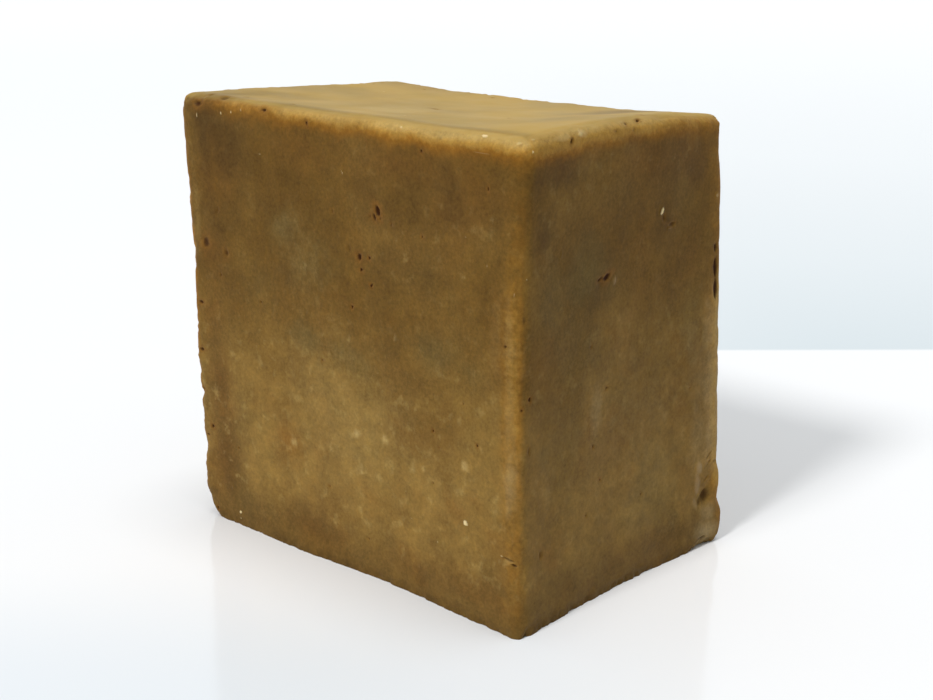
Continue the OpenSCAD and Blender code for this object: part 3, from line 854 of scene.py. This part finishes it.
def soap_material():
    """Waxy skin: brown and olive clouds, pale flakes, golden worn edges, painted sheen, painted
    highlight and painted shade.
    """
    material = bpy.data.materials.new("olive_soap")
    material.use_nodes = True
    nodes, links = material.node_tree.nodes, material.node_tree.links
    shader = nodes["Principled BSDF"]
    cloudy, ramp, sums, blend, scaled = node_tools(material)

    def kept(name):
        """A mask that the skin keeps."""
        node = nodes.new("ShaderNodeAttribute")
        node.attribute_name = name
        return node.outputs["Fac"]

    def frayed(name, noise_value, fray, low, high):
        """A kept mask with its border broken up by noise."""
        strayed = sums("ADD", kept(name), ramp(noise_value, 0.2, 0.8, -fray, fray, "LINEAR"))
        return ramp(strayed, low, high)

    umber = paint(111, 81, 34)
    olive = paint(139, 109, 53)
    rind_brown = paint(91, 64, 18)
    rust = paint(118, 80, 30)
    grey_olive = paint(98, 81, 42)
    dark_brown = paint(69, 48, 18)
    straw = paint(162, 136, 80)
    flake_cream = paint(176, 150, 94)
    painted_sheen_grey = paint(152, 130, 88)
    amber_brown = paint(134, 88, 24)
    honey = paint(148, 100, 28)
    worn_gold = paint(167, 128, 57)
    rim_straw_and_highlight = paint(173, 145, 86)
    khaki = paint(174, 142, 73)
    khaki_grey = paint(154, 128, 70)
    cream = paint(214, 194, 146)
    scraped = paint(152, 128, 92)
    pit_dark_and_shade = paint(52, 24, 0)

    fine = cloudy(pitch=1.6, detail=4, roughness=0.65, shift=3.0)
    middling = cloudy(pitch=6, detail=5, roughness=0.6, shift=5.0)
    broad = cloudy(pitch=15, detail=6, roughness=0.6)
    greyish = cloudy(pitch=7, detail=5, roughness=0.6, shift=9.0)
    on_lid = cloudy(pitch=14, detail=2, roughness=0.5, shift=21.0)
    spotted = cloudy(pitch=2.0, detail=3, roughness=0.55, shift=2.0)
    rubbed = cloudy(pitch=1.3, detail=4, roughness=0.6, shift=8.0)
    blotched = cloudy(pitch=5, detail=8, roughness=0.8, shift=14.0)
    dappled = cloudy(pitch=2.4, detail=2, roughness=0.5, shift=33.0)
    speckled = cloudy(pitch=0.5, detail=3, roughness=0.7, shift=17.0)
    polished = cloudy(pitch=6, detail=2, roughness=0.5, shift=12.0)
    bumpy = cloudy(pitch=0.45, detail=3, roughness=0.5, shift=4.0)

    colour = blend(umber, olive, ramp(broad, 0.35, 0.65, 0.25, 0.85))
    colour = blend(colour, rust, ramp(middling, 0.5, 0.8, 0.0, 0.5))
    colour = blend(colour, grey_olive, ramp(greyish, 0.5, 0.8, 0.0, 0.3))
    # The lid is painted paler khaki, partly its own colour and partly painted light for the
    # stronger light that falls on the top
    top = blend(khaki, khaki_grey, ramp(on_lid, 0.3, 0.7, 0.1, 0.8))
    colour = blend(colour, top, kept("lid"))
    colour = blend(colour, rind_brown, sums("MULTIPLY", kept("rind"), 0.85))
    colour = blend(colour, rust, frayed("brown", middling, 0.12, 0.05, 1.1))
    # Grey patches, with the painted shade behind the front rim
    colour = blend(colour, grey_olive, frayed("grey_and_shade", fine, 0.12, 0.05, 1.1))
    # Dark patches, with the painted shade along the base
    colour = blend(colour, dark_brown, frayed("dark_and_shade", fine, 0.10, 0.10, 1.2))
    flecks = ramp(spotted, 0.54, 0.74, 0.0, FLECKS)
    plain = sums("MAXIMUM", kept("rind"), kept("plain"))
    colour = blend(colour, straw, sums("MULTIPLY", flecks, ramp(plain, 0.0, 1.0, 1.0, 0.1)))
    colour = blend(colour, straw, frayed("pale", fine, 0.15, 0.08, 1.25))
    colour = blend(colour, flake_cream, frayed("flake", fine, 0.30, 0.2, 1.4))
    colour = blend(colour, amber_brown, frayed("amber", fine, 0.14, 0.08, 1.1))
    gold = frayed("gold", rubbed, 0.16, 0.08, 1.03)
    colour = blend(colour, blend(honey, worn_gold, ramp(gold, 0.2, 0.75)), gold)
    # Pale crest of the upper rims, partly a painted highlight
    colour = blend(colour, rim_straw_and_highlight, frayed("pale_crest_and_highlight", fine, 0.12, 0.12, 1.08))
    # Painted sheen on the narrow face and along its edges
    colour = blend(colour, painted_sheen_grey, frayed("painted_sheen", fine, 0.15, 0.08, 1.25))
    # The lid's paler colour again over its edges, partly painted light
    colour = blend(colour, top, sums("MULTIPLY", kept("lid"), 0.45))
    colour = blend(colour, rust, ramp(kept("halo"), 0.0, 1.0, 0.0, 0.7))
    mottled = ramp(blotched, 0.25, 0.75, -MOTTLING, MOTTLING, "LINEAR")
    small_mottled = ramp(dappled, 0.3, 0.7, -SMALL_MOTTLING, SMALL_MOTTLING)
    mottled = sums("ADD", mottled, small_mottled)
    uneven = sums("ADD", mottled, ramp(speckled, 0.2, 0.8, -SPECKLING, SPECKLING, "LINEAR"))
    uneven = sums("MULTIPLY", uneven, ramp(kept("lid"), 0.0, 1.0, 1.0, LID_SHARE))
    colour = scaled(colour, sums("ADD", uneven, 1.0))
    colour = blend(colour, scraped, ramp(kept("scrape"), 0.05, 1.0, 0.0, 0.8))
    colour = blend(colour, cream, ramp(kept("crumb"), 0.15, 0.9))
    # Holes and cuts painted near-black, partly their own dark and partly painted shade in the
    # hollows
    colour = blend(colour, pit_dark_and_shade, ramp(kept("hole"), 0.1, 0.9))
    links.new(colour, shader.inputs["Base Color"])

    links.new(ramp(polished, 0.3, 0.7, *DULLNESS), shader.inputs["Roughness"])
    shader.inputs["Subsurface Weight"].default_value = SUBSURFACE_SHARE
    shader.inputs["Subsurface Radius"].default_value = (1.0, 0.55, 0.2)
    shader.inputs["Subsurface Scale"].default_value = SUBSURFACE_DEPTH
    shader.inputs["Specular IOR Level"].default_value = SHINE

    rough = nodes.new("ShaderNodeBump")
    rough.inputs["Strength"].default_value = 0.35
    rough.inputs["Distance"].default_value = BUMP_HEIGHT
    links.new(bumpy, rough.inputs["Height"])
    links.new(rough.outputs["Normal"], shader.inputs["Normal"])
    return material


soap = bpy.data.objects.new("soap_bar_skin", skin)
bpy.context.scene.collection.objects.link(soap)
skin.materials.clear()
skin.materials.append(soap_material())
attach(soap, "root")
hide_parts("soap_bar")

# The ground. A smooth white sheet, faintly glossy, that turns a very pale
# blue beyond a straight line behind the bar.
GROUND_REACH = 4.0
GROUND_ROUGHNESS = 0.12
GROUND_IOR = 1.35
LINE_BEHIND = 102.9 * MM
LINE_SOFTNESS = 1.2 * MM
# The blue pales away behind, over these powers of ten in metres, and to the
# left; a cooler white lies in front, towards the left, in metres
BLUE_BEHIND = (-0.985, 0.03)
BLUE_SIDEWAYS = (-0.05, 0.09)
COOL_IN_FRONT = (-0.012, -0.055)
COOL_SIDEWAYS = (0.05, -0.02)


def ground_material():
    """Glossy white, pale blue beyond the line, and a cooler white in front."""
    material = bpy.data.materials.new("white_ground")
    material.use_nodes = True
    nodes, links = material.node_tree.nodes, material.node_tree.links
    shader = nodes["Principled BSDF"]
    _, ramp, sums, blend, _ = node_tools(material)
    shader.inputs["Roughness"].default_value = GROUND_ROUGHNESS
    shader.inputs["IOR"].default_value = GROUND_IOR
    position = nodes.new("ShaderNodeNewGeometry").outputs["Position"]

    def metres(direction):
        """How far a point lies from the origin in one direction."""
        node = nodes.new("ShaderNodeVectorMath")
        node.operation = "DOT_PRODUCT"
        node.inputs[1].default_value = direction
        links.new(position, node.inputs[0])
        return node.outputs["Value"]

    depth = metres(Vector((-math.sin(CAMERA_TURN), math.cos(CAMERA_TURN), 0)))
    beyond = ramp(depth, LINE_BEHIND - LINE_SOFTNESS, LINE_BEHIND + LINE_SOFTNESS)
    near_line = ramp(sums("LOGARITHM", depth, 10.0), *BLUE_BEHIND, 1.0, 0.0, "LINEAR")
    to_right = ramp(metres(rightward), *BLUE_SIDEWAYS)
    blue = sums("MULTIPLY", sums("MULTIPLY", beyond, near_line), to_right)
    colour = blend(paint(243, 243, 243), paint(206, 216, 220), blue)
    to_left = ramp(metres(rightward), *COOL_SIDEWAYS)
    to_front = sums("MULTIPLY", ramp(depth, *COOL_IN_FRONT), to_left)
    colour = blend(colour, paint(228, 233, 237), to_front)
    links.new(colour, shader.inputs["Base Color"])
    return material


ground_mesh = bpy.data.meshes.new("ground")
corners = [(-1, -1), (1, -1), (1, 1), (-1, 1)]
ground_points = [(x * GROUND_REACH, y * GROUND_REACH, 0) for x, y in corners]
ground_mesh.from_pydata(ground_points, [], [(0, 1, 2, 3)])
ground = bpy.data.objects.new("ground", ground_mesh)
bpy.context.scene.collection.objects.link(ground)
ground_mesh.materials.append(ground_material())

# The light. A soft lamp in front lights the broad face and casts the shadow
# behind the bar, one above brightens the top and the rim, and a pale sky does
# the rest.
SKY_COLOUR = (0.93, 0.97, 1.0, 1)
SKY_LEVEL = 0.40
SKY_SEEN_LEVEL = 1.0


def soft_light(name, toward, softness, level):
    """A distant lamp that lights a surface turned to it to this level, where 1 is plain."""
    data = bpy.data.lights.new(name, "SUN")
    data.energy = level * math.pi
    data.angle = math.radians(softness)
    lamp = bpy.data.objects.new(name, data)
    lamp.rotation_mode = "QUATERNION"
    lamp.rotation_quaternion = Vector(toward).to_track_quat("Z", "Y")
    bpy.context.scene.collection.objects.link(lamp)


soft_light("front_light", toward=(0.02, -1.0, 0.92), softness=12, level=0.66)
soft_light("top_light", toward=(0.10, 0.04, 1.0), softness=24, level=0.31)

world = bpy.data.worlds.new("sky")
world.use_nodes = True
bpy.context.scene.world = world
sky_nodes, sky_links = world.node_tree.nodes, world.node_tree.links
sky = sky_nodes["Background"]
sky.inputs["Color"].default_value = SKY_COLOUR
light_path = sky_nodes.new("ShaderNodeLightPath")
seen_white = sky_nodes.new("ShaderNodeMath")
seen_white.operation = "MAXIMUM"
sky_links.new(light_path.outputs["Is Camera Ray"], seen_white.inputs[0])
sky_links.new(light_path.outputs["Is Glossy Ray"], seen_white.inputs[1])
strength = sky_nodes.new("ShaderNodeMix")
strength.inputs["A"].default_value = SKY_LEVEL
strength.inputs["B"].default_value = SKY_SEEN_LEVEL
sky_links.new(seen_white.outputs["Value"], strength.inputs["Factor"])
sky_links.new(strength.outputs["Result"], sky.inputs["Strength"])

bpy.context.scene.view_settings.view_transform = "Standard"
